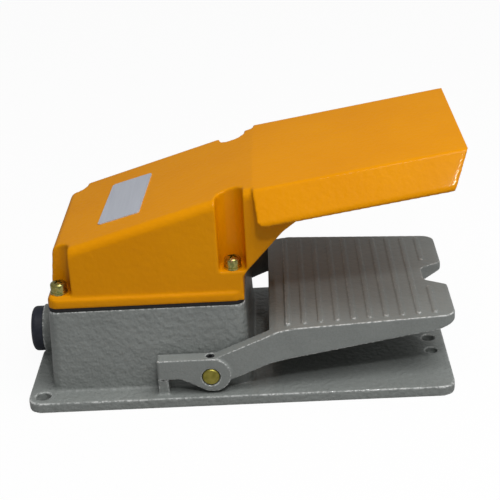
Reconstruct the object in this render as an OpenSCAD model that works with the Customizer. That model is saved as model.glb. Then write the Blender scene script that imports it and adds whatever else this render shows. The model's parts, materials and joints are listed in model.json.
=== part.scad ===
// Industrial foot switch: die-cast base with a switch chamber, hooded cover, and a rocking pedal on a through shaft.
// Millimetres. +X points to the toe end, +Z up. Origin: middle of the base plate's underside.

/* [Base plate] */
// Length of the base plate
base_l = 240; // [236:1:260]
// Width of the base plate
base_w = 138; // [134:1:150]
// Thickness of the base plate
base_t = 6; // [5.5:0.5:8]
// Corner radius of the base plate
base_corner_r = 8; // [4:1:12]
// Depth of the weight-saving pockets under the plate
pocket_depth = 2.5; // [1:0.5:3]
// Width of the ribs and border left round those pockets
pocket_rib = 9; // [6:1:12]
// Distance of the rear mounting holes from the rear edge
rear_hole_inset_x = 8; // [7:0.5:9]
// Distance of the rear mounting holes from the side edges
rear_hole_inset_y = 9; // [8:0.5:12]
// Diameter of the rear mounting holes
rear_hole_d = 8.4; // [6:0.2:9]
// Distance of both front hole pairs from the front edge
front_hole_inset_x = 9; // [7:0.5:12]
// Spacing of the inner, through pair of front holes
front_inner_spacing = 21; // [18:1:24]
// Diameter of the inner front holes
front_inner_d = 7.6; // [5:0.2:8.5]
// Spacing of the outer, tapped pair of front holes
front_outer_spacing = 52; // [46:1:60]
// Diameter of the outer front holes
front_outer_d = 7; // [5:0.5:8]
// Depth of the outer front holes
front_outer_depth = 4; // [3:0.5:5]

/* [Switch chamber] */
// X of the chamber's rear face at its top
chamber_rear_x = -105; // [-106:0.5:-104]
// X of the chamber's front face at its top
chamber_front_x = 5; // [4.5:0.5:6]
// Width of the chamber at its top
chamber_top_w = 109; // [106:0.5:110]
// How far each side face leans out towards the foot
chamber_side_lean = 1.3; // [0.8:0.1:2]
// How far the front and rear faces lean out towards the foot
chamber_end_lean = 2.2; // [0.5:0.1:3]
// Height of the chamber's top face above the ground
chamber_h = 55.2; // [54:0.2:58]
// Corner radius of the chamber
chamber_corner_r = 6; // [3:0.5:8]
// Wall of the chamber
chamber_wall = 4; // [3.5:0.25:4.5]
// Thickness of the chamber's floor
chamber_floor = 5; // [4:0.5:5.5]
// Thickness of the gasket under the cover
gasket_t = 2.2; // [1.5:0.1:3]

/* [Cover and hood] */
// Wall of the cover
cover_wall = 3.4; // [2.6:0.2:4]
// Height of the rim round the foot of the cover
rim_h = 5.2; // [4:0.2:6]
// How far the rim stands out from the cover's side
rim_step = 0.9; // [0.5:0.1:1.4]
// How much the cover narrows from rim to roof, each side
cover_draft = 1.2; // [0.4:0.2:2]
// Height of the roof plane above the origin
roof_z = 118.7; // [114:0.5:124]
// Slope of the roof, rise over run
roof_slope = 0.298; // [0.25:0.01:0.34]
// Radius along the roof's edges
roof_edge_r = 5; // [2:0.5:6.5]
// X where the roof turns into the hood
hood_root_x = 12.1; // [9:0.5:14]
// X of the hood's tip along its top
hood_tip_x = 126.6; // [110:1:135]
// Slope of the hood, rise over run
hood_slope = 0.156; // [0.1:0.01:0.2]
// How far the hood's flat top is wider than the roof, each side
hood_overhang = 1.6; // [0.4:0.2:2.4]
// How far each flared side spreads beyond the flat top
hood_flare = 11.2; // [8:0.5:13]
// Height of the flared side
hood_side_h = 15.6; // [12:0.5:18]
// Height of the upright lip below the flared side
hood_lip_h = 2.6; // [1.5:0.2:4]
// Angle by which the hood's tip is raked back
hood_rake = 14; // [0:1:18]
// Wall of the hood
hood_wall = 3.2; // [2.4:0.2:4]

/* [Cover screws] */
// Diameter of the cover screws
screw_d = 5; // [4:0.5:5.5]
// Diameter of the screw heads
screw_head_d = 9.2; // [8.5:0.1:9.6]
// Height of the screw heads
screw_head_h = 4; // [3:0.2:4.4]
// Distance of the front screws from the chamber's front face
screw_front_inset = 5.6; // [5.2:0.1:6]
// Distance of the rear screws from the chamber's rear face
screw_rear_inset = 7; // [6.6:0.1:7.6]
// Distance of the screws from the chamber's side faces
screw_side_inset = 6.9; // [6.6:0.1:7.3]
// Radius of the upright pocket above each screw
screw_pocket_r = 7.5; // [6:0.25:8]
// Height of the front screws' seats
seat_front_z = 75; // [70:1:80]
// Height of the rear screws' seats
seat_rear_z = 64.5; // [63.5:0.5:70]
// How deep the screws reach into the chamber's bosses
screw_grip = 11; // [8:1:16]

/* [Pedal] */
// X of the pedal's hinge axis
pivot_x = -16; // [-18:0.5:-15]
// Height of the pedal's hinge axis
pivot_z = 16.5; // [16.3:0.1:18]
// Thickness of the pedal's arms
arm_t = 7.5; // [6.5:0.25:9]
// Width of the pedal at its toe end
toe_w = 111; // [104:1:116]
// X of the tread's rear edge
tread_rear_x = 17.5; // [15:0.5:20]
// X of the tread's toe edge
tread_toe_x = 121.5; // [116:0.5:124]
// Height of the tread's top face
tread_z = 43.3; // [42:0.1:46]
// Thickness of the tread
tread_t = 4.2; // [3:0.2:5]
// Thickness of the pedal's side skirts
skirt_t = 4; // [3:0.25:5]
// Height of the stiffening ribs under the tread
stiffener_h = 6; // [4:0.5:7]
// Thickness of the stiffening ribs under the tread
stiffener_t = 3; // [2:0.5:4]
// Gap between each arm and the foot of the chamber
arm_gap = 1.2; // [0.8:0.1:1.4]
// Radius of the pedal's hinge bosses
boss_r = 10.1; // [9.8:0.1:10.3]
// How far the bosses and tails stand out of the pedal's sides
boss_proud = 1.2; // [0.5:0.1:1.6]
// Relief round the shaft's ends in the bosses
bore_relief = 0.5; // [0.3:0.1:0.8]
// Number of anti-slip ribs
rib_count = 10; // [8:1:10]
// Spacing of the anti-slip ribs
rib_pitch = 9.15; // [8.5:0.05:9.3]
// Width of each rib
rib_w = 2.6; // [1.5:0.1:3.5]
// Height of each rib
rib_h = 0.9; // [0.4:0.1:1.4]
// Depth of the notch in the toe edge
notch_depth = 13; // [9:0.5:14]
// Width of the notch at its mouth
notch_w = 31; // [26:1:34]
// Length of the tails behind the hinge
tail_l = 30; // [28:0.5:32]

/* [Shaft and return spring] */
// Diameter of the pivot shaft
shaft_d = 9.5; // [8:0.25:9.75]
// Running clearance of the shaft in its bushes
shaft_clear = 0.05; // [0.03:0.01:0.08]
// Outer diameter of the bushes
bush_d = 14; // [13:0.5:15]
// Length of each bush
bush_l = 9; // [7:0.5:10]
// Thickness of the shaft seals
seal_t = 2.4; // [1.6:0.2:3]
// Outer diameter of the return spring
spring_d = 12; // [10.5:0.5:13]
// Wire of the return spring
spring_wire = 1.6; // [1.2:0.1:2]
// Number of turns of the return spring
spring_turns = 4.5; // [4:0.5:5]
// Distance of the return spring from the hinge axis
spring_arm = 34; // [33:0.5:35]

/* [Switch unit] */
// Thickness of the bracket's sheet
bracket_t = 2; // [1.5:0.1:2.5]
// Length of the switch case
switch_l = 49; // [47:0.5:50]
// Width of the switch case
switch_w = 17.5; // [16.5:0.25:17.5]
// Height of the switch case
switch_h = 24; // [22:0.5:25]
// Height of the underside of the switch case
switch_z = 28.5; // [28:0.25:29]
// Spacing of the switch's mounting screws
switch_screw_spacing = 25.4; // [25:0.1:26]
// Diameter of the plunger
plunger_d = 5; // [4:0.25:5.5]
// Distance of the plunger from the hinge axis
plunger_arm = 12; // [11.6:0.1:12.4]
// Gap between the plunger and the lever at rest
plunger_gap = 0.3; // [0.3:0.05:0.5]

/* [Cable entry] */
// Height of the cable entry's axis
gland_z = 18.5; // [18:0.1:19]
// Radius of the cast boss round the cable entry
gland_boss_r = 14.5; // [14:0.1:15]
// X of the boss's end face
gland_boss_x = -118; // [-119:0.5:-116]
// Diameter of the gland's cap nut
gland_cap_d = 27; // [25:0.5:27.5]
// Length of the gland's cap nut
gland_cap_l = 7; // [6:0.5:9]
// Diameter of the gland's threaded body
gland_body_d = 20; // [18:0.5:20.5]
// Diameter of the cable that the gland takes
cable_d = 9; // [6:0.5:10]

/* [Nameplate] */
// Length of the nameplate across the roof
plate_l = 59; // [50:1:64]
// Width of the nameplate along the roof
plate_w = 25; // [20:0.5:28]
// Thickness of the nameplate
plate_t = 0.5; // [0.3:0.1:0.8]
// X of the nameplate's middle
plate_x = -62; // [-66:1:-56]

/* [Hidden] */
$fn = 48;
eps = 0.01;
arc_steps = 7;
fit_gap = 0.02;
front_x = base_l / 2;
rear_x = -base_l / 2;
chamber_foot_w = chamber_top_w + 2 * chamber_side_lean;
screw_front_x = chamber_front_x - screw_front_inset;
screw_rear_x = chamber_rear_x + screw_rear_inset;
screw_y = chamber_top_w / 2 - screw_side_inset;
cover_z = chamber_h + gasket_t;
rim_top_z = cover_z + rim_h;
rim_half_w = chamber_top_w / 2 + 0.4;
cover_half_w = rim_half_w - rim_step;
roof_half_w = cover_half_w - cover_draft;
roof_angle = atan(roof_slope);
hood_angle = atan(hood_slope);
hood_half_w = roof_half_w + hood_overhang;
hood_reach = hood_tip_x - hood_root_x + 45;
tall = roof_z + 10;
hood_root_z = roof_z + roof_slope * hood_root_x;
chamber_mid_x = (chamber_rear_x + chamber_front_x) / 2;
cavity_half_w = chamber_top_w / 2 - chamber_wall;
screw_places = [for (x = [screw_front_x, screw_rear_x], side = [-1, 1]) [x, side * screw_y]];
chamber_boss_r = 6;
thread_clear = 0.25;
flat_washer_t = 1.2;
spring_washer_t = 1.8;
washer_r = screw_head_d / 2 + 0.3;
arm_inner_y = chamber_foot_w / 2 + arm_gap;
arm_outer_y = arm_inner_y + arm_t;
arm_mid_y = (arm_inner_y + arm_outer_y) / 2;
pedal_w = 2 * arm_outer_y;
tail_rear_x = pivot_x - tail_l;
tail_top_z = pivot_z + 11.2;
tail_under_z = pivot_z - 0.5;
boss_x = pivot_x + 1.2;
boss_z = tail_top_z - boss_r;
boss_face_y = arm_outer_y + boss_proud;
relief_depth = 1.5;
shaft_chamfer = 0.5;
stop_w = 6;
stop_gap = 0.3;
shaft_r = shaft_d / 2;
bush_r = bush_d / 2;
seal_r = bush_r + 1;
lever_top_z = pivot_z + 2.5;
lever_hub_r = 8.5;
lever_w = 10;
lever_t = 7;
lever_end_x = pivot_x - spring_arm - 6.5;
switch_x = pivot_x - plunger_arm;
bracket_x = switch_x - switch_w / 2;
bracket_half_w = switch_l / 2 + 1.5;
bracket_top_z = switch_z + switch_h + 1;
pad_h = 2;
foot_z = chamber_floor + pad_h;
tab_z = lever_top_z + 17;
tab_half_w = spring_d / 2 + 2;
foot_l = 16;
foot_w = 14;
foot_y = bracket_half_w - foot_w / 2 - 0.5;
foot_screw_x = bracket_x - bracket_t - foot_l / 2;
pad_r = 6;
tap_floor = 1.5;
m4_r = 2;
m4_head_d = 8;
m4_head_h = 3;
terminal_pitch = (switch_l - 15) / 2;
terminal_w = switch_w / 2 + 0.25;
terminal_t = 1;
terminal_screw_d = 3.4;
terminal_head_d = 6.4;
terminal_tap = 5.5;
slot_w = 1.5;
nut_t = 3.2;
grub_r = 2.5;
switch_screw_z = switch_z + 11;
plunger_bottom_z = lever_top_z + plunger_gap;
sleeve_h = 2.8;
lid_h = 8;
earth_x = -84;
earth_y = -30;
gland_body_r = gland_body_d / 2;
gland_cap_r = gland_cap_d / 2;
gland_seal_r = gland_body_r - 2.2;

// ---- shared geometry ----

function unit(v) = v / norm(v);
function wrap(a) = a - 360 * floor((a + 180) / 360);
function bend(p0, p1, p2) =
    p1[2] == 0 ? [[p1[0], p1[1]]] :
    let (a = [p0[0], p0[1]], b = [p1[0], p1[1]], c = [p2[0], p2[1]])
    let (u = unit(a - b), v = unit(c - b), half = acos(u * v) / 2)
    let (m = b + unit(u + v) * p1[2] / sin(half))
    let (s = b + u * p1[2] / tan(half) - m, e = b + v * p1[2] / tan(half) - m)
    let (start = atan2(s[1], s[0]), turn = wrap(atan2(e[1], e[0]) - start))
    [for (i = [0:arc_steps]) m + p1[2] * [cos(start + turn * i / arc_steps), sin(start + turn * i / arc_steps)]];
// Outline through points [x, y, corner radius]
function rounded(p) = let (n = len(p))
    [for (i = [0:n - 1]) each bend(p[(i + n - 1) % n], p[i], p[(i + 1) % n])];
function box_outline(x0, x1, half_w, r) =
    rounded([[x0, -half_w, r], [x1, -half_w, r], [x1, half_w, r], [x0, half_w, r]]);
function roof_at(x) = roof_z + roof_slope * x;
function hood_at(x) = hood_root_z + hood_slope * (x - hood_root_x);

module upright(outline, z0, z1) {
    translate([0, 0, z0])
        linear_extrude(z1 - z0)
            polygon(outline);
}

// Extrudes an outline drawn in X and Z across Y
module across(outline, y0, y1) {
    translate([0, y1, 0])
        rotate([90, 0, 0])
            linear_extrude(y1 - y0)
                polygon(outline);
}

// Extrudes a section drawn in Y and Z along a slope that starts at [x, z]
module along(section, x, z, angle, length) {
    translate([x, 0, z])
        rotate([0, -angle, 0])
            rotate([90, 0, 90])
                linear_extrude(length)
                    polygon(section);
}

module mirrored_y() {
    children();
    mirror([0, 1, 0])
        children();
}

module rod_y(r, y0, y1) {
    translate([0, y1, 0])
        rotate([90, 0, 0])
            cylinder(r = r, h = y1 - y0);
}

module rod_x(r, x0, x1) {
    translate([x0, 0, 0])
        rotate([0, 90, 0])
            cylinder(r = r, h = x1 - x0);
}

module cross_recess(size, depth) {
    for (a = [0, 90])
        rotate(a)
            translate([-size / 2, -size / 10, -depth])
                cube([size, size / 5, depth + 1]);
}

// Pan-head screw, standing on z = 0 with its shank below
module pan_screw(d, head_d, head_h, length) {
    crown = head_h * 0.45;
    difference() {
        union() {
            rotate_extrude()
                polygon(concat([[0, 0], [head_d / 2, 0], [head_d / 2, head_h - crown]],
                    [for (i = [1:5]) [head_d / 2 * cos(i * 18), head_h - crown + crown * sin(i * 18)]]));
            translate([0, 0, -length])
                cylinder(d = d, h = length + eps);
        }
        translate([0, 0, head_h])
            cross_recess(head_d * 0.6, head_h * 0.5);
    }
}

// Socket set screw along +Z, its socket at the top
module grub_screw(d, length) {
    difference() {
        cylinder(d = d, h = length);
        translate([0, 0, length * 0.55])
            cylinder(d = d * 0.55, h = length, $fn = 6);
    }
}

module ring(r_out, r_in, h) {
    difference() {
        cylinder(r = r_out, h = h);
        translate([0, 0, -1])
            cylinder(r = r_in, h = h + 2);
    }
}

// ---- base casting ----

module chamber_outer() {
    foot = box_outline(chamber_rear_x - chamber_end_lean, chamber_front_x + chamber_end_lean, chamber_foot_w / 2,
        chamber_corner_r);
    top = box_outline(chamber_rear_x, chamber_front_x, chamber_top_w / 2, chamber_corner_r);
    hull() {
        upright(foot, base_t - 0.5, base_t);
        upright(top, chamber_h - 0.5, chamber_h);
    }
}

module chamber_cavity() {
    upright(box_outline(chamber_rear_x + chamber_wall, chamber_front_x - chamber_wall, cavity_half_w,
        chamber_corner_r - 2), chamber_floor, chamber_h + 1);
}

module underside_pockets() {
    x0 = chamber_front_x + 10;
    x1 = front_x - front_hole_inset_x - pocket_rib;
    half_l = (x1 - x0 - pocket_rib) / 2;
    half_w = base_w / 2 - pocket_rib;
    for (i = [0, 1])
        mirrored_y()
            translate([x0 + i * (half_l + pocket_rib), pocket_rib / 2, -1])
                cube([half_l, half_w - pocket_rib / 2, pocket_depth + 1]);
}

module stop_posts() {
    mirrored_y()
        translate([tail_rear_x, arm_inner_y + 1, base_t - 0.5])
            cube([stop_w, arm_outer_y - arm_inner_y - 1, tail_under_z - stop_gap - base_t + 0.5]);
}

module bush_boss() {
    r = bush_r + 4;
    inner_y = chamber_foot_w / 2 - 1 - seal_t - bush_l + 0.3;
    translate([pivot_x, 0, pivot_z])
        rod_y(r, inner_y, chamber_top_w / 2);
    translate([pivot_x - r, inner_y, chamber_floor - 0.5])
        cube([2 * r, chamber_top_w / 2 - inner_y, pivot_z - chamber_floor + 0.5]);
}

module base_casting() {
    color([0.45, 0.47, 0.46])
        difference() {
            union() {
                difference() {
                    union() {
                        upright(box_outline(rear_x, front_x, base_w / 2, base_corner_r), 0, base_t);
                        chamber_outer();
                    }
                    chamber_cavity();
                }
                intersection() {
                    union() {
                        for (p = screw_places)
                            translate([p[0], p[1], chamber_floor - 0.5])
                                cylinder(r = chamber_boss_r, h = chamber_h - chamber_floor + 0.5);
                        mirrored_y()
                            bush_boss();
                    }
                    chamber_outer();
                }
                for (y = [-foot_y, foot_y])
                    translate([foot_screw_x, y, chamber_floor - 0.5])
                        cylinder(r = pad_r, h = pad_h + 0.5);
                translate([0, 0, gland_z])
                    rod_x(gland_boss_r, gland_boss_x, chamber_rear_x + 1);
                stop_posts();
            }
            underside_pockets();
            mirrored_y()
                translate([rear_x + rear_hole_inset_x, base_w / 2 - rear_hole_inset_y, -1])
                    cylinder(d = rear_hole_d, h = base_t + 2);
            mirrored_y()
                translate([front_x - front_hole_inset_x, front_inner_spacing / 2, -1])
                    cylinder(d = front_inner_d, h = base_t + 2);
            mirrored_y()
                translate([front_x - front_hole_inset_x, front_outer_spacing / 2, base_t - front_outer_depth])
                    cylinder(d = front_outer_d, h = front_outer_depth + 1);
            for (p = screw_places)
                translate([p[0], p[1], chamber_h - screw_grip - 2])
                    cylinder(d = screw_d, h = screw_grip + 3);
            translate([pivot_x, 0, pivot_z]) {
                rod_y(bush_r, -chamber_foot_w / 2 - 1, chamber_foot_w / 2 + 1);
                mirrored_y()
                    rod_y(seal_r, chamber_foot_w / 2 - 1 - seal_t, chamber_foot_w / 2 + 1);
            }
            for (y = [-foot_y, foot_y])
                translate([foot_screw_x, y, tap_floor])
                    cylinder(r = m4_r, h = foot_z);
            translate([earth_x, earth_y, tap_floor])
                cylinder(r = m4_r, h = foot_z);
            translate([0, 0, gland_z]) {
                rod_x(gland_body_r, gland_boss_x - 1, chamber_rear_x + chamber_wall + 1);
                rod_x(gland_cap_r + 0.6, rear_x - 1, gland_boss_x);
            }
        }
}

module cover_gasket() {
    color([0.05, 0.05, 0.05])
        difference() {
            union() {
                difference() {
                    upright(box_outline(chamber_rear_x + 0.3, chamber_front_x - 0.3, chamber_top_w / 2 - 0.3,
                        chamber_corner_r), chamber_h, cover_z);
                    upright(box_outline(chamber_rear_x + chamber_wall, chamber_front_x - chamber_wall,
                        cavity_half_w, chamber_corner_r - 2), chamber_h - 1, cover_z + 1);
                }
                for (p = screw_places)
                    translate([p[0], p[1], chamber_h])
                        cylinder(r = chamber_boss_r - 0.6, h = gasket_t);
            }
            for (p = screw_places)
                translate([p[0], p[1], chamber_h - 1])
                    cylinder(d = screw_d + 2 * thread_clear, h = gasket_t + 2);
        }
}

// ---- cover with hood ----

// Side outline of the closed part of the cover, drawn in by inset
function body_side(inset) = rounded([
    [chamber_rear_x + 1 + inset, cover_z - (inset > 0 ? 1 : 0), 0],
    [chamber_rear_x + 4.6 + inset, roof_at(chamber_rear_x + 4.6) - inset, roof_edge_r - min(inset, roof_edge_r - 1)],
    [hood_root_x, roof_at(hood_root_x) - inset, 0],
    [hood_root_x + 30 - inset, hood_at(hood_root_x + 30) - inset - 0.6, 0],
    [hood_root_x + 30 - inset, hood_at(hood_root_x + 30) - hood_side_h - hood_lip_h - 1 + inset, 0],
    [hood_root_x + 15.5 - inset * 0.6, cover_z + 39.5 + inset, 14],
    [chamber_front_x + 2.6 - inset, seat_front_z + inset * 0.6, 5],
    [chamber_front_x - 0.2 - inset, seat_front_z - 4, 0],
    [chamber_front_x - 0.2 - inset, cover_z - (inset > 0 ? 1 : 0), 0]]);

// Cross-section of the closed part below the roof plane, drawn in by inset
function body_section(inset) =
    let (drop = roof_at(hood_root_x + 30) - cover_z + 12)
    rounded([[-cover_half_w + inset, -drop, 0],
        [cover_half_w - inset, -drop, 0],
        [roof_half_w - inset, -inset, roof_edge_r - min(inset, roof_edge_r - 1.5)],
        [-roof_half_w + inset, -inset, roof_edge_r - min(inset, roof_edge_r - 1.5)]]);

module cover_body(inset) {
    start = chamber_rear_x - 20;
    intersection() {
        across(body_side(inset), -cover_half_w + inset, cover_half_w - inset);
        along(body_section(inset), start, roof_at(start), roof_angle, hood_root_x - start + 60);
    }
}

// Cross-section of the hood below its top plane, drawn in by inset and open downwards where inset
function hood_section(inset) =
    let (top = hood_half_w - inset * 0.7, wide = hood_half_w + hood_flare - inset)
    let (knee = -hood_side_h - inset * 0.4, low = -hood_side_h - hood_lip_h - (inset > 0 ? 5 : 0))
    rounded([[-top, -inset, 2], [-wide, knee, 2], [-wide, low, inset > 0 ? 0 : 1],
        [wide, low, inset > 0 ? 0 : 1], [wide, knee, 2], [top, -inset, 2]]);

module hood_solid() {
    tip = [hood_tip_x, hood_at(hood_tip_x)];
    rake_x = tan(hood_rake + hood_angle) * 40;
    intersection() {
        along(hood_section(0), hood_root_x, hood_root_z, hood_angle, hood_reach);
        across(rounded([[hood_root_x - 1, hood_root_z + 20, 0],
            [hood_root_x - 1, hood_root_z - hood_side_h - hood_lip_h - 0.4, 9],
            [hood_root_x + 18, hood_at(hood_root_x + 18) - hood_side_h - hood_lip_h - 0.4, 40],
            [tip[0] - rake_x, tip[1] - 40, 0],
            [tip[0], tip[1], 0],
            [tip[0], tip[1] + 10, 0]]), -hood_half_w - hood_flare - 1, hood_half_w + hood_flare + 1);
    }
}

module hood_hollow() {
    x = hood_root_x + hood_wall - 1;
    along(hood_section(hood_wall), x, hood_at(x), hood_angle, hood_reach);
}

module screw_tower(p) {
    translate([p[0], p[1], cover_z])
        cylinder(r = screw_pocket_r + cover_wall, h = tall - cover_z);
}

// Upright pocket that opens to the side, and for the rear screws to the rear as well
module screw_pocket(p, seat) {
    side = p[1] > 0 ? 1 : -1;
    reach = 2 * screw_pocket_r;
    translate([p[0], p[1], seat])
        linear_extrude(tall - seat) {
            circle(r = screw_pocket_r);
            translate([-screw_pocket_r, side > 0 ? 0 : -reach])
                square([2 * screw_pocket_r, reach]);
            if (p[0] < chamber_mid_x)
                translate([-reach, side > 0 ? -screw_pocket_r : -reach])
                    square([reach, reach + screw_pocket_r]);
        }
}

module cover_hood() {
    color([0.85, 0.58, 0.06])
        difference() {
            union() {
                upright(box_outline(chamber_rear_x + 0.3, chamber_front_x - 0.2, rim_half_w, chamber_corner_r),
                    cover_z, rim_top_z);
                cover_body(0);
                difference() {
                    hood_solid();
                    hood_hollow();
                }
            }
            difference() {
                union() {
                    cover_body(cover_wall);
                    upright(box_outline(chamber_rear_x + chamber_wall, chamber_front_x - chamber_wall,
                        cavity_half_w, chamber_corner_r - 2), cover_z - 1, cover_z + 3);
                }
                for (p = screw_places)
                    screw_tower(p);
            }
            for (p = screw_places) {
                screw_pocket(p, p[0] < chamber_mid_x ? seat_rear_z : seat_front_z);
                translate([p[0], p[1], cover_z - 1])
                    cylinder(d = screw_d + 2 * thread_clear, h = seat_front_z - cover_z + 2);
            }
        }
}

module nameplate() {
    color([0.75, 0.76, 0.78])
        translate([plate_x, -1, roof_at(plate_x)])
            rotate([0, -roof_angle, 0])
                rotate([0, 0, -3])
                    upright(rounded([[-plate_w / 2, -plate_l / 2, 2], [plate_w / 2, -plate_l / 2, 2],
                        [plate_w / 2, plate_l / 2, 2], [-plate_w / 2, plate_l / 2, 2]]), 0, plate_t);
}

module cover_screw(p, seat) {
    stack = flat_washer_t + spring_washer_t;
    translate([p[0], p[1], seat + stack])
        rotate([0, 0, 20 + p[0] + p[1]])
            pan_screw(screw_d, screw_head_d, screw_head_h, seat + stack - chamber_h + screw_grip);
}

module front_cover_screws() {
    color([0.75, 0.72, 0.45])
        for (p = screw_places)
            if (p[0] > chamber_mid_x)
                cover_screw(p, seat_front_z);
}

module rear_cover_screws() {
    color([0.75, 0.72, 0.45])
        for (p = screw_places)
            if (p[0] < chamber_mid_x)
                cover_screw(p, seat_rear_z);
}

module cover_flat_washers() {
    color([0.7, 0.68, 0.45])
        for (p = screw_places)
            translate([p[0], p[1], p[0] < chamber_mid_x ? seat_rear_z : seat_front_z])
                ring(washer_r, screw_d / 2 + thread_clear, flat_washer_t);
}

module cover_spring_washers() {
    color([0.6, 0.58, 0.4])
        for (p = screw_places)
            translate([p[0], p[1], (p[0] < chamber_mid_x ? seat_rear_z : seat_front_z) + flat_washer_t])
                difference() {
                    ring(screw_head_d / 2 - 0.1, screw_d / 2 + thread_clear, spring_washer_t);
                    rotate(200)
                        translate([0, -0.4, -1])
                            cube([washer_r, 0.8, spring_washer_t + 2]);
                }
}

// ---- pedal ----

function pedal_half_w(x) =
    x < tread_rear_x ? arm_outer_y :
    arm_outer_y - (arm_outer_y - toe_w / 2) * (x - tread_rear_x) / (tread_toe_x - 7 - tread_rear_x);

// Plan outline of the whole pedal's outside, drawn in by inset
function pedal_plan(inset) =
    let (toe = tread_toe_x - inset, w = arm_outer_y - inset, t = pedal_half_w(tread_toe_x) - inset)
    let (in_x = tread_toe_x - notch_depth - inset, in_w = notch_w / 4 + inset, out_w = notch_w / 2 + inset)
    rounded([[tail_rear_x + inset, -w, 2], [tread_rear_x, -w, 12], [toe, -t, 8], [toe, -out_w, 3],
        [in_x, -in_w, 5], [in_x, in_w, 5], [toe, out_w, 3], [toe, t, 8], [tread_rear_x, w, 12],
        [tail_rear_x + inset, w, 2]]);

// Side outline of the pedal
function pedal_side() = rounded([[boss_x, boss_z, 0], [boss_x, tail_top_z, 0],
    [pivot_x + 3, tail_top_z, 6], [tread_rear_x + 4, tread_z - 1.4, 6], [tread_rear_x + 13, tread_z, 0],
    [tread_toe_x, tread_z, 1.2], [tread_toe_x, tread_z - 5.2, 1.5], [tread_toe_x - 10, tread_z - 8.6, 6],
    [tread_rear_x + 12, tread_z - 18.4, 20], [tread_rear_x, tread_z - 20.4, 12],
    [boss_x + boss_r * cos(25), boss_z - boss_r * sin(25), 0]]);

// Side outline of the hinge boss and of the tail that runs back from it
function tail_side() = let (r = boss_r - eps)
    rounded([[tail_rear_x, tail_under_z, 1.5], [tail_rear_x, tail_top_z, 1.5],
        [boss_x + boss_r, tail_top_z, r], [boss_x + boss_r, boss_z - boss_r, r],
        [boss_x - boss_r * tan(15), boss_z - boss_r, r], [tail_rear_x + 13, tail_under_z, 4]]);

module tread_rib(i) {
    x = tread_rear_x + 10.5 + i * rib_pitch;
    half = pedal_half_w(x) - 4.5;
    split = x + rib_w > tread_toe_x - notch_depth ? notch_w / 2 + 2.5 : 0;
    for (side = split > 0 ? [-1, 1] : [1])
        translate([x, split > 0 ? side * (half + split) / 2 : 0, tread_z - 2]) {
            run = split > 0 ? (half - split) / 2 - rib_w / 2 : half - rib_w / 2;
            translate([-rib_w / 2, -run, 0])
                cube([rib_w, 2 * run, 2 + rib_h]);
            for (end = [-run, run])
                translate([0, end, 0])
                    cylinder(d = rib_w, h = 2 + rib_h);
        }
}

module pedal() {
    under_z = tread_z - tread_t;
    color([0.5, 0.51, 0.5])
        difference() {
            union() {
                difference() {
                    intersection() {
                        upright(pedal_plan(0), 0, tread_z + 1);
                        across(pedal_side(), -arm_outer_y - 1, arm_outer_y + 1);
                    }
                    // hollow under the tread, with stiffening ribs left in it
                    difference() {
                        intersection() {
                            upright(pedal_plan(skirt_t), 0, under_z);
                            translate([tread_rear_x + skirt_t, -pedal_w, 0])
                                cube([200, 2 * pedal_w, under_z]);
                        }
                        translate([(tread_rear_x + tread_toe_x) / 2, -pedal_w, under_z - stiffener_h])
                            cube([stiffener_t, 2 * pedal_w, stiffener_h + 1]);
                        mirrored_y()
                            translate([tread_rear_x, toe_w / 4, under_z - stiffener_h])
                                cube([tread_toe_x - tread_rear_x - notch_depth - 6, stiffener_t, stiffener_h + 1]);
                    }
                    // clear space for the chamber between the arms
                    translate([tail_rear_x - 1, -arm_inner_y, -1])
                        cube([tread_rear_x - tail_rear_x + 1, 2 * arm_inner_y, tread_z + 5]);
                }
                intersection() {
                    mirrored_y()
                        across(tail_side(), arm_inner_y, boss_face_y);
                    upright(box_outline(tail_rear_x, tread_toe_x, boss_face_y, 2), 0, tread_z);
                }
                for (i = [0:rib_count - 1])
                    tread_rib(i);
            }
            translate([pivot_x, 0, pivot_z])
                rod_y(shaft_r + fit_gap, -pedal_w, pedal_w);
            mirrored_y()
                translate([pivot_x, 0, pivot_z])
                    rod_y(shaft_r + bore_relief, boss_face_y - relief_depth, boss_face_y + 1);
            mirrored_y()
                translate([pivot_x, arm_mid_y, pivot_z])
                    cylinder(r = grub_r, h = tail_top_z - pivot_z + 1);
        }
}

module pedal_grub_screws() {
    color([0.12, 0.12, 0.12])
        mirrored_y()
            translate([pivot_x, arm_mid_y, pivot_z + shaft_r])
                grub_screw(2 * grub_r - 0.1, tail_top_z - pivot_z - shaft_r - 0.4);
}

module pivot_shaft() {
    color([0.62, 0.56, 0.28])
        translate([pivot_x, 0, pivot_z]) {
            rod_y(shaft_r, shaft_chamfer - boss_face_y, boss_face_y - shaft_chamfer);
            mirrored_y()
                translate([0, boss_face_y - shaft_chamfer, 0])
                    rotate([-90, 0, 0])
                        cylinder(r1 = shaft_r, r2 = shaft_r - shaft_chamfer, h = shaft_chamfer);
        }
}

module shaft_bushes() {
    color([0.7, 0.5, 0.25])
        mirrored_y()
            translate([pivot_x, chamber_foot_w / 2 - 1 - seal_t, pivot_z])
                rotate([90, 0, 0])
                    ring(bush_r - fit_gap, shaft_r + shaft_clear, bush_l);
}

module shaft_seals() {
    color([0.08, 0.08, 0.08])
        mirrored_y()
            translate([pivot_x, chamber_foot_w / 2 - 1, pivot_z])
                rotate([90, 0, 0])
                    ring(seal_r - fit_gap, shaft_r + shaft_clear, seal_t - fit_gap);
}

// ---- mechanism inside the chamber ----

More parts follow.
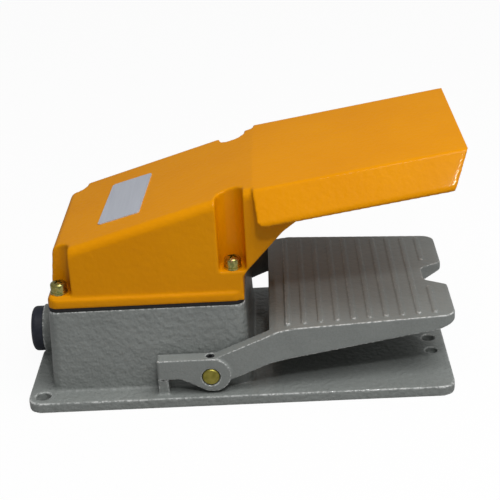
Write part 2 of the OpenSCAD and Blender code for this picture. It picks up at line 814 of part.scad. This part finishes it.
module actuating_lever() {
    color([0.55, 0.55, 0.57])
        difference() {
            union() {
                translate([pivot_x, 0, pivot_z])
                    rod_y(lever_hub_r, -8, 8);
                across(rounded([[pivot_x, lever_top_z - lever_t - 1, 0], [pivot_x, lever_top_z, 0],
                    [lever_end_x, lever_top_z, 1.5], [lever_end_x, lever_top_z - lever_t + 1.5, 2]]),
                    -lever_w / 2, lever_w / 2);
                translate([pivot_x - spring_arm, 0, lever_top_z - eps])
                    cylinder(r = spring_d / 2 - spring_wire - 0.4, h = 2);
            }
            translate([pivot_x, 0, pivot_z])
                rod_y(shaft_r + fit_gap, -20, 20);
            translate([pivot_x, 0, pivot_z])
                rod_x(grub_r, 0, 20);
        }
}

module lever_grub_screw() {
    color([0.12, 0.12, 0.12])
        translate([pivot_x + shaft_r, 0, pivot_z])
            rotate([0, 90, 0])
                grub_screw(2 * grub_r - 0.1, lever_hub_r - shaft_r);
}

// Compression spring between the lever and the bracket's tab
module return_spring() {
    z0 = lever_top_z + spring_wire / 2 + 0.1;
    rise = tab_z - lever_top_z - spring_wire - 0.2;
    r = (spring_d - spring_wire) / 2;
    per_turn = 20;
    sides = 8;
    steps = spring_turns * per_turn;
    function lift(i) = rise * min(1, max(0, (i - per_turn * 0.75) / (steps - per_turn * 1.5)));
    points = [for (i = [0:steps], k = [0:sides - 1])
        let (a = i * 360 / per_turn, b = k * 360 / sides, d = r + spring_wire / 2 * cos(b))
        [d * cos(a), d * sin(a), lift(i) + spring_wire / 2 * sin(b)]];
    walls = [for (i = [0:steps - 1], k = [0:sides - 1])
        let (m = i * sides, n = (k + 1) % sides)
        [m + k, m + n, m + sides + n, m + sides + k]];
    caps = [[for (k = [sides - 1:-1:0]) k], [for (k = [0:sides - 1]) steps * sides + k]];
    color([0.6, 0.6, 0.62])
        translate([pivot_x - spring_arm, 0, z0])
            polyhedron(points, concat(walls, caps));
}

module switch_bracket() {
    back_x = bracket_x - bracket_t;
    tab_end_x = pivot_x - spring_arm - tab_half_w;
    color([0.7, 0.71, 0.72])
        difference() {
            union() {
                translate([back_x, -bracket_half_w, foot_z])
                    cube([bracket_t, 2 * bracket_half_w, bracket_top_z - foot_z]);
                mirrored_y()
                    translate([back_x - foot_l, foot_y - foot_w / 2, foot_z])
                        cube([foot_l + eps, foot_w, bracket_t]);
                translate([tab_end_x, -tab_half_w, tab_z])
                    cube([back_x - tab_end_x + eps, 2 * tab_half_w, bracket_t]);
                translate([pivot_x - spring_arm, 0, tab_z - 2])
                    cylinder(r = spring_d / 2 - spring_wire - 0.4, h = 2 + eps);
            }
            // gate that the lever swings in
            translate([back_x - 1, -lever_w / 2 - 3, foot_z - 1])
                cube([bracket_t + 2, lever_w + 6, tab_z - 7 - foot_z]);
            for (y = [-foot_y, foot_y])
                translate([foot_screw_x, y, foot_z - 1])
                    cylinder(r = m4_r + thread_clear, h = bracket_t + 2);
            for (y = [-1, 1])
                translate([0, y * switch_screw_spacing / 2, switch_screw_z])
                    rod_x(m4_r + 0.1, back_x - 1, bracket_x + 1);
        }
}

module bracket_screws() {
    color([0.75, 0.72, 0.45])
        for (y = [-foot_y, foot_y])
            translate([foot_screw_x, y, foot_z + bracket_t])
                rotate(35)
                    pan_screw(2 * m4_r, m4_head_d, m4_head_h, foot_z + bracket_t - tap_floor - 1);
}

module microswitch_case() {
    top = switch_h - lid_h;
    color([0.13, 0.12, 0.12])
        difference() {
            union() {
                translate([bracket_x, -switch_l / 2, switch_z])
                    cube([switch_w, switch_l, top]);
                translate([switch_x, 0, switch_z - sleeve_h])
                    cylinder(d = plunger_d + 6, h = sleeve_h + eps);
            }
            translate([switch_x, 0, switch_z - sleeve_h - 1])
                cylinder(r = plunger_d / 2 + shaft_clear, h = sleeve_h + 10);
            for (y = [-1, 1])
                translate([0, y * switch_screw_spacing / 2, switch_screw_z])
                    rod_x(m4_r + 0.1, bracket_x - 1, bracket_x + switch_w + 1);
        }
}

module microswitch_lid() {
    color([0.45, 0.1, 0.08])
        translate([bracket_x, -switch_l / 2, switch_z + switch_h - lid_h])
            difference() {
                cube([switch_w, switch_l, lid_h]);
                for (y = [-1, 0, 1])
                    translate([switch_w / 2, switch_l / 2 + y * terminal_pitch, lid_h - terminal_tap])
                        cylinder(d = terminal_screw_d + 0.1, h = lid_h);
                for (y = [-1, 1])
                    translate([-1, switch_l / 2 + y * terminal_pitch / 2 - slot_w / 2, lid_h - 2])
                        cube([switch_w + 2, slot_w, 3]);
            }
}

module switch_plunger() {
    r = plunger_d / 2;
    color([0.85, 0.82, 0.72])
        translate([switch_x, 0, plunger_bottom_z])
            rotate_extrude()
                polygon(concat([for (i = [0:5]) [r * sin(i * 18), r * 0.6 * (1 - cos(i * 18))]],
                    [[r, switch_z + 3 - plunger_bottom_z], [0, switch_z + 3 - plunger_bottom_z]]));
}

module switch_terminals() {
    color([0.8, 0.66, 0.3])
        for (y = [-1, 0, 1])
            translate([switch_x, y * terminal_pitch, switch_z + switch_h])
                difference() {
                    translate([-terminal_w / 2, 0.5 - terminal_w / 2, 0])
                        cube([terminal_w, terminal_w - 1, terminal_t]);
                    translate([0, 0, -1])
                        cylinder(d = terminal_screw_d + 0.1, h = terminal_t + 2);
                }
}

module terminal_screws() {
    color([0.75, 0.72, 0.45])
        for (y = [-1, 0, 1])
            translate([switch_x, y * terminal_pitch, switch_z + switch_h + terminal_t])
                rotate(15 + 40 * y)
                    pan_screw(terminal_screw_d, terminal_head_d, m4_head_h - 0.6, terminal_t + terminal_tap - 1);
}

module switch_mounting_screws() {
    color([0.75, 0.72, 0.45])
        for (y = [-1, 1])
            translate([bracket_x + switch_w, y * switch_screw_spacing / 2, switch_screw_z])
                rotate([0, 90, 0])
                    pan_screw(2 * m4_r, m4_head_d, m4_head_h, switch_w + bracket_t + nut_t + 1.3);
}

module switch_mounting_nuts() {
    color([0.72, 0.7, 0.48])
        for (y = [-1, 1])
            translate([bracket_x - bracket_t - nut_t, y * switch_screw_spacing / 2, switch_screw_z])
                rotate([0, 90, 0])
                    difference() {
                        cylinder(d = m4_head_d + 0.1, h = nut_t, $fn = 6);
                        translate([0, 0, -1])
                            cylinder(r = m4_r + fit_gap, h = nut_t + 2);
                    }
}

module earth_screw() {
    color([0.8, 0.7, 0.35])
        translate([earth_x, earth_y, chamber_floor]) {
            ring(m4_head_d / 2 + 1, m4_r - fit_gap, terminal_t);
            translate([0, 0, terminal_t])
                pan_screw(2 * m4_r, m4_head_d, m4_head_h, terminal_t + chamber_floor - tap_floor - 0.5);
        }
}

// ---- cable entry ----

module gland_body() {
    inner_x = chamber_rear_x + chamber_wall + 6;
    color([0.1, 0.11, 0.14])
        translate([0, 0, gland_z])
            difference() {
                rod_x(gland_body_r - fit_gap, gland_boss_x - gland_cap_l + 2, inner_x);
                rod_x(cable_d / 2 + 1.2, gland_boss_x - 20, inner_x + 1);
                rod_x(gland_seal_r, gland_boss_x - 20, gland_boss_x + 4);
            }
}

module gland_locknut() {
    x = chamber_rear_x + chamber_wall;
    color([0.12, 0.12, 0.14])
        translate([x, 0, gland_z])
            rotate([0, 90, 0])
                difference() {
                    cylinder(r = gland_body_r + 3, h = 3.5, $fn = 6);
                    translate([0, 0, -1])
                        cylinder(r = gland_body_r, h = 6);
                }
}

module gland_seal() {
    color([0.06, 0.06, 0.07])
        translate([gland_boss_x - gland_cap_l + 2, 0, gland_z])
            rotate([0, 90, 0])
                ring(gland_seal_r - fit_gap, cable_d / 2, gland_cap_l + 2);
}

module gland_cap_nut() {
    edge = 2.5;
    lip = 1.8;
    color([0.09, 0.1, 0.14])
        translate([gland_boss_x, 0, gland_z])
            rotate([0, -90, 0])
                difference() {
                    rotate_extrude()
                        polygon(concat([[0, 0], [gland_cap_r, 0]],
                            [for (i = [0:5]) [gland_cap_r - edge + edge * cos(i * 18), gland_cap_l - edge + edge * sin(i * 18)]],
                            [[0, gland_cap_l]]));
                    translate([0, 0, -1])
                        cylinder(r = gland_body_r, h = gland_cap_l - lip + 1);
                    translate([0, 0, -1])
                        cylinder(r = cable_d / 2 + 1, h = gland_cap_l + 2);
                }
}

base_casting();
cover_gasket();
cover_hood();
front_cover_screws();
rear_cover_screws();
cover_spring_washers();
cover_flat_washers();
nameplate();
pedal();
pedal_grub_screws();
pivot_shaft();
shaft_bushes();
shaft_seals();
actuating_lever();
lever_grub_screw();
return_spring();
switch_bracket();
bracket_screws();
microswitch_case();
microswitch_lid();
switch_plunger();
switch_terminals();
terminal_screws();
switch_mounting_screws();
switch_mounting_nuts();
earth_screw();
gland_body();
gland_locknut();
gland_seal();
gland_cap_nut();
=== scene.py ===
import bpy
import json
import math
from mathutils import Matrix, Vector


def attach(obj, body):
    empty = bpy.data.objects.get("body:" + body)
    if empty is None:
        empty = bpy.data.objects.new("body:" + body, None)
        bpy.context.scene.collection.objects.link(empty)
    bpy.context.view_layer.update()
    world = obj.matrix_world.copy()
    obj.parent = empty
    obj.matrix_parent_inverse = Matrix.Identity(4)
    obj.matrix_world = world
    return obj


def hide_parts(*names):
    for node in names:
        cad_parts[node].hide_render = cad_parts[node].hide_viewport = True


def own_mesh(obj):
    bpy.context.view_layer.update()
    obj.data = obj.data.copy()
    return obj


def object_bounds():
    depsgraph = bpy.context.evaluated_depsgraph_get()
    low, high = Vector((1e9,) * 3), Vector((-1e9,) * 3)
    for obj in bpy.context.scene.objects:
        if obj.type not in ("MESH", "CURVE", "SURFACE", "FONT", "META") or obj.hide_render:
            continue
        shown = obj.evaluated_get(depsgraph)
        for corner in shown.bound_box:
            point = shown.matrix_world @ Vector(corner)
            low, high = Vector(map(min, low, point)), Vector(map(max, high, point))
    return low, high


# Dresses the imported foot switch: soft cast edges, paint and plating, studio light
# and camera. Lengths are metres unless a comment says millimetres.

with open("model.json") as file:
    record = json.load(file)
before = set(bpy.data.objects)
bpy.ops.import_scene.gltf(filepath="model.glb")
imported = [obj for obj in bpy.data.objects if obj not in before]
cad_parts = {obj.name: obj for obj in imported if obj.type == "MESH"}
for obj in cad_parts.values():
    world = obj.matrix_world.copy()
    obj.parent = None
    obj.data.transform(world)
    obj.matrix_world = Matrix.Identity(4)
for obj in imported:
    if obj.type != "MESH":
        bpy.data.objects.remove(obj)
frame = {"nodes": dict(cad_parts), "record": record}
cad_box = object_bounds()
NODES = frame["nodes"]
MM = 0.001


# ---- materials ----

def srgb(r, g, b):
    """Linear colour from 0-255 display values."""
    def lin(c):
        c /= 255
        return c / 12.92 if c <= 0.04045 else ((c + 0.055) / 1.055) ** 2.4
    return (lin(r), lin(g), lin(b), 1)


class Paint:
    """A principled material with the node helpers that the surfaces here share.

    Texture space is in millimetres of the object.
    """

    def __init__(self, name, **sockets):
        self.mat = bpy.data.materials.new(name)
        self.mat.use_nodes = True
        self.nodes, self.links = self.mat.node_tree.nodes, self.mat.node_tree.links
        self.shader = self.nodes["Principled BSDF"]
        for socket, value in sockets.items():
            self.shader.inputs[socket.replace("_", " ")].default_value = value
        coord = self.nodes.new("ShaderNodeTexCoord")
        self.place = self.nodes.new("ShaderNodeMapping")
        self.place.inputs["Scale"].default_value = (1 / MM,) * 3
        self.links.new(coord.outputs["Object"], self.place.inputs["Vector"])

    def put(self, out, socket):
        """Links a node's output to a socket of the shader."""
        self.links.new(out, self.shader.inputs[socket])

    def noise(self, size, detail=2.0, stretch=(1, 1, 1)):
        """Noise with lumps of about size millimetres."""
        n = self.nodes.new("ShaderNodeTexNoise")
        n.inputs["Scale"].default_value = 1 / size
        n.inputs["Detail"].default_value = detail
        source = self.place.outputs[0]
        if stretch != (1, 1, 1):
            m = self.nodes.new("ShaderNodeMapping")
            m.inputs["Scale"].default_value = stretch
            self.links.new(source, m.inputs["Vector"])
            source = m.outputs[0]
        self.links.new(source, n.inputs["Vector"])
        return n.outputs["Fac"]

    def ramp(self, factor, *stops):
        """Colour ramp through (position, colour) stops."""
        r = self.nodes.new("ShaderNodeValToRGB")
        while len(r.color_ramp.elements) < len(stops):
            r.color_ramp.elements.new(0.5)
        for e, (pos, colour) in zip(r.color_ramp.elements, stops):
            e.position, e.color = pos, colour
        self.links.new(factor, r.inputs["Fac"])
        return r.outputs["Color"]

    def span(self, factor, low, high, a=0.3, b=0.7):
        """Maps the range a..b of a factor to low..high, and holds it there outside."""
        m = self.nodes.new("ShaderNodeMapRange")
        for socket, value in (("From Min", a), ("From Max", b), ("To Min", low), ("To Max", high)):
            m.inputs[socket].default_value = value
        self.links.new(factor, m.inputs["Value"])
        return m.outputs["Result"]

    def mix(self, factor, a, b):
        """Colour between a and b. Each may be a value or a node's output."""
        m = self.nodes.new("ShaderNodeMix")
        m.data_type = "RGBA"
        for socket, value in ((m.inputs["Factor"], factor), (m.inputs[6], a), (m.inputs[7], b)):
            if isinstance(value, (tuple, float, int)):
                socket.default_value = value
            else:
                self.links.new(value, socket)
        return m.outputs[2]

    def times(self, a, b):
        """Product of two node outputs."""
        m = self.nodes.new("ShaderNodeMath")
        m.operation = "MULTIPLY"
        self.links.new(a, m.inputs[0])
        self.links.new(b, m.inputs[1])
        return m.outputs[0]

    def edges(self, low, high):
        """1 where the surface is more convex than high, 0 below low (0.5 is flat)."""
        g = self.nodes.new("ShaderNodeNewGeometry")
        return self.span(g.outputs["Pointiness"], 0, 1, low, high)

    def bump(self, *layers):
        """Stacks (height, depth in millimetres) layers into the normal."""
        normal = None
        for height, depth in layers:
            b = self.nodes.new("ShaderNodeBump")
            b.inputs["Strength"].default_value = 1
            b.inputs["Distance"].default_value = depth * MM
            self.links.new(height, b.inputs["Height"])
            if normal:
                self.links.new(normal, b.inputs["Normal"])
            normal = b.outputs["Normal"]
        self.put(normal, "Normal")


HIGHLIGHT_EDGE = (0.515, 0.56)     # pointiness at which the painted edge highlight starts, and is full
HIGHLIGHT_PATCH = (0.4, 0.56)      # noise levels between which the painted edge highlight breaks up into specks


def grey_hammertone(name, wave, depth):
    """Grey structure paint with waves of about wave millimetres, with painted highlight specks on
    convex edges.
    """
    p = Paint(name, Specular_IOR_Level=0.4, Coat_Weight=0.4, Coat_Roughness=0.08)
    grain, patches = p.noise(0.9, 3), p.noise(28, 3)
    body = p.mix(p.span(patches, 0, 1), srgb(126, 130, 127), srgb(136, 140, 137))
    body = p.mix(p.span(grain, 0, 0.3), body, srgb(160, 164, 162))
    # Painted highlight: near-white specks on convex edges stand in for the lamps' glints on the
    # rounded paint.
    painted_highlight = p.times(p.edges(*HIGHLIGHT_EDGE), p.span(p.noise(1.6, 1), 0, 1, *HIGHLIGHT_PATCH))
    p.put(p.mix(painted_highlight, body, srgb(238, 240, 238)), "Base Color")
    p.put(p.span(grain, 0.34, 0.5), "Roughness")
    p.bump((p.noise(wave, 1), depth), (p.noise(1.1, 2), 0.1))
    return p.mat


def yellow_enamel():
    p = Paint("yellow_enamel", Specular_IOR_Level=0.05, Coat_Weight=0.15, Coat_Roughness=0.06)
    patches, grain = p.noise(45, 3), p.noise(1.3, 2)
    body = p.mix(p.span(patches, 0, 1), srgb(229, 146, 0), srgb(234, 152, 0))
    p.put(p.mix(p.span(grain, 0, 0.1), body, srgb(240, 166, 8)), "Base Color")
    p.put(p.span(grain, 0.34, 0.46), "Roughness")
    p.bump((p.noise(3.6, 1), 0.22), (grain, 0.05))
    return p.mat


def mottled(name, stops, tone, gloss, rough, dents, depth, **sockets):
    """A surface with wandering colour, uneven gloss and small dents.

    tone, gloss and dents are the (size, detail) of their noises, rough is the
    range of roughness and depth is the dents' depth, all in millimetres.
    """
    p = Paint(name, **sockets)
    p.put(p.ramp(p.noise(*tone), *stops), "Base Color")
    p.put(p.span(p.noise(*gloss), *rough), "Roughness")
    p.bump((p.noise(*dents), depth))
    return p.mat


def two_tone(dark, light):
    """Colour stops for an even mottle between two colours."""
    return (0.3, srgb(*dark)), (0.7, srgb(*light))


def yellow_zinc():
    stops = ((0.30, srgb(182, 171, 92)), (0.45, srgb(208, 198, 126)),
             (0.58, srgb(150, 158, 92)), (0.72, srgb(205, 160, 120)))
    return mottled("yellow_zinc", stops, (2.5, 2), (0.8, 2), (0.2, 0.34), (0.5, 2), 0.02,
                   Metallic=1.0)


def plated_steel():
    return mottled("plated_steel", two_tone((176, 178, 180), (206, 208, 210)),
                   (6, 3), (1.2, 3), (0.24, 0.4), (0.7, 2), 0.015, Metallic=1.0)


def brass():
    return mottled("brass", two_tone((176, 142, 78), (212, 180, 110)),
                   (3, 3), (1, 3), (0.25, 0.42), (0.6, 2), 0.02, Metallic=1.0)


def shaft_plating():
    return mottled("shaft_plating", two_tone((150, 141, 60), (186, 175, 88)),
                   (3.5, 3), (1, 3), (0.34, 0.5), (0.9, 3), 0.05, Metallic=0.85)


def black_rubber():
    return mottled("black_rubber", two_tone((22, 22, 23), (34, 34, 35)),
                   (2, 3), (1, 2), (0.5, 0.7), (1.4, 3), 0.08)


def moulding(name, dark, light, low, high):
    """A moulded or blackened piece, which differs from the others in colour and gloss alone."""
    return mottled(name, two_tone(dark, light), (4, 3), (0.8, 2), (low, high), (0.6, 2), 0.02)


def name_plate():
    p = Paint("plate_metal", Metallic=0.2)
    streak = p.noise(1.6, 3, (1, 0.04, 1))
    p.put(p.ramp(streak, (0.3, srgb(196, 200, 210)), (0.7, srgb(204, 208, 217))), "Base Color")
    p.put(p.span(streak, 0.4, 0.5), "Roughness")
    p.bump((streak, 0.003))
    return p.mat


MATERIALS = {
    "grey_paint": grey_hammertone("grey_hammertone", 3.0, 0.8),
    "grey_paint_pedal": grey_hammertone("grey_smoother", 4.0, 0.3),
    "yellow_paint": yellow_enamel(),
    "black_rubber": black_rubber(),
    "yellow_zinc": yellow_zinc(),
    "plate_metal": name_plate(),
    "black_steel": moulding("black_steel", (26, 26, 28), (44, 44, 46), 0.3, 0.45),
    "bright_steel": plated_steel(),
    "brass": brass(),
    "black_plastic": moulding("black_plastic", (34, 38, 50), (46, 50, 62), 0.34, 0.48),
    "red_plastic": moulding("red_plastic", (120, 28, 20), (142, 36, 26), 0.25, 0.36),
    "ivory_plastic": moulding("ivory_plastic", (222, 214, 190), (234, 228, 206), 0.4, 0.5),
}

for part in frame["record"]["subparts"]:
    mesh = NODES[part["node"]].data
    mesh.materials.clear()
    mesh.materials.append(MATERIALS[part["material_slot"]])
NODES["pivot_shaft"].data.materials[0] = shaft_plating()


# ---- castings with the soft edges that a mould leaves ----

KEPT_FACES = 0.3     # share of a remeshed casting's faces that is kept


def show(piece):
    """Puts a new object in the scene."""
    bpy.context.scene.collection.objects.link(piece)


def apply_modifiers(piece):
    """Makes the modifiers' result the piece's own mesh."""
    dg = bpy.context.evaluated_depsgraph_get()
    mesh = bpy.data.meshes.new_from_object(piece.evaluated_get(dg))
    piece.modifiers.clear()
    piece.data = mesh


def soft_cast(node, slot, body, voxel, passes, finish=None):
    """Stands in for a casting's sharp solid: the same form, with rounded edges and corners.

    The solid is remeshed at the voxel size and smoothed that many times. finish
    names the material where it isn't the slot's own.
    """
    piece = bpy.data.objects.new(node + "_cast", NODES[node].data.copy())
    show(piece)
    remesh = piece.modifiers.new("remesh", "REMESH")
    remesh.mode = "VOXEL"
    remesh.voxel_size = voxel
    smooth = piece.modifiers.new("smooth", "SMOOTH")
    smooth.factor, smooth.iterations = 0.5, passes
    apply_modifiers(piece)
    thin = piece.modifiers.new("thin", "DECIMATE")
    thin.ratio = KEPT_FACES
    apply_modifiers(piece)
    for face in piece.data.polygons:
        face.use_smooth = True
    piece.data.materials.clear()
    piece.data.materials.append(MATERIALS[finish or slot])
    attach(piece, body)
    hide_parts(node)


soft_cast("cover_hood", "yellow_paint", "housing", 0.8 * MM, 5)
soft_cast("base_casting", "grey_paint", "housing", 0.8 * MM, 4)
soft_cast("pedal", "grey_paint", "pedal_assembly", 0.5 * MM, 2, "grey_paint_pedal")


def coil_spring():
    """The return spring, held at the bracket's tab: a smooth-shaded copy that rides with the
    housing.
    """
    coil = bpy.data.objects.new("return_spring_coil", NODES["return_spring"].data.copy())
    show(coil)
    for face in coil.data.polygons:
        face.use_smooth = True
    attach(coil, "housing")
    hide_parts("return_spring")
    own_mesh(coil)


coil_spring()


# ---- floor, light and camera ----

FLOOR_SIZE = 8
FLOOR_SHADE = (0.4, 0.95)     # how pale the floor is to other rays, and to the camera
FLOOR_GLOW = 0.95             # share of plain white that the camera sees on it
SKY_LEVEL = (0.22, 1.0)       # strength to other rays, and to the camera
SENSOR_MM = 36
CLIP = (0.01, 20)


def floor():
    """A pale floor: white to the camera, darker to the object, and with its shadow."""
    bpy.ops.mesh.primitive_plane_add(size=FLOOR_SIZE, location=(0, 0, cad_box[0].z))
    plane = bpy.context.object
    plane.name = "floor"
    mat = bpy.data.materials.new("floor")
    mat.use_nodes = True
    nodes, links = mat.node_tree.nodes, mat.node_tree.links
    out, diffuse = nodes["Material Output"], nodes["Principled BSDF"]
    diffuse.inputs["Roughness"].default_value = 0.9
    pale = nodes.new("ShaderNodeMapRange")
    pale.inputs["To Min"].default_value, pale.inputs["To Max"].default_value = FLOOR_SHADE
    glow = nodes.new("ShaderNodeEmission")
    rays = nodes.new("ShaderNodeLightPath")
    share = nodes.new("ShaderNodeMath")
    share.operation = "MULTIPLY"
    share.inputs[1].default_value = FLOOR_GLOW
    mix = nodes.new("ShaderNodeMixShader")
    links.new(rays.outputs["Is Camera Ray"], share.inputs[0])
    links.new(rays.outputs["Is Camera Ray"], pale.inputs["Value"])
    links.new(pale.outputs[0], diffuse.inputs["Base Color"])
    links.new(share.outputs[0], mix.inputs[0])
    links.new(diffuse.outputs[0], mix.inputs[1])
    links.new(glow.outputs[0], mix.inputs[2])
    links.new(mix.outputs[0], out.inputs["Surface"])
    plane.data.materials.append(mat)


def softbox(name, place, target, width, height, power):
    """A white area lamp of power watts at place, turned to the target."""
    light = bpy.data.lights.new(name, "AREA")
    light.shape, light.size, light.size_y = "RECTANGLE", width, height
    light.energy = power
    obj = bpy.data.objects.new(name, light)
    obj.location = place
    obj.rotation_euler = (Vector(target) - Vector(place)).to_track_quat("-Z", "Y").to_euler()
    show(obj)


def sky():
    """The world's even light."""
    world = bpy.data.worlds.new("studio")
    bpy.context.scene.world = world
    world.use_nodes = True
    nodes, links = world.node_tree.nodes, world.node_tree.links
    back = nodes["Background"]
    back.inputs["Color"].default_value = (1, 1, 1, 1)
    rays = nodes.new("ShaderNodeLightPath")
    level = nodes.new("ShaderNodeMapRange")
    level.inputs["To Min"].default_value, level.inputs["To Max"].default_value = SKY_LEVEL
    links.new(rays.outputs["Is Camera Ray"], level.inputs["Value"])
    links.new(level.outputs[0], back.inputs["Strength"])


def camera(elevation, azimuth, roll, distance, target, lens):
    """Looks at the target from a distance. Angles in degrees, azimuth 0 being the near side."""
    e, a, r = (math.radians(v) for v in (elevation, azimuth, roll))
    back = Vector((math.sin(a) * math.cos(e), -math.cos(a) * math.cos(e), math.sin(e)))
    right = (-back).cross(Vector((0, 0, 1))).normalized()
    up = right.cross(-back)
    turned = right * math.cos(r) + up * math.sin(r)
    upright = up * math.cos(r) - right * math.sin(r)
    data = bpy.data.cameras.new("camera")
    data.lens, data.sensor_width = lens, SENSOR_MM
    data.clip_start, data.clip_end = CLIP
    cam = bpy.data.objects.new("camera", data)
    axes = Matrix((turned, upright, back)).transposed()
    cam.matrix_world = Matrix.Translation(Vector(target) + back * distance) @ axes.to_4x4()
    show(cam)
    bpy.context.scene.camera = cam


floor()
sky()
softbox("top_light", (0.3, -0.3, 0.95), (0, 0, 0.05), 0.7, 0.7, 7)
softbox("key_light", (0.12, -0.67, 0.77), (0.03, 0, 0.08), 0.07, 0.07, 1.6)
camera(elevation=24.08, azimuth=1.733, roll=-3.387, distance=0.7558,
       target=(0.0078, 0, 0.06361), lens=92.594)
bpy.context.scene.view_settings.view_transform = "Standard"
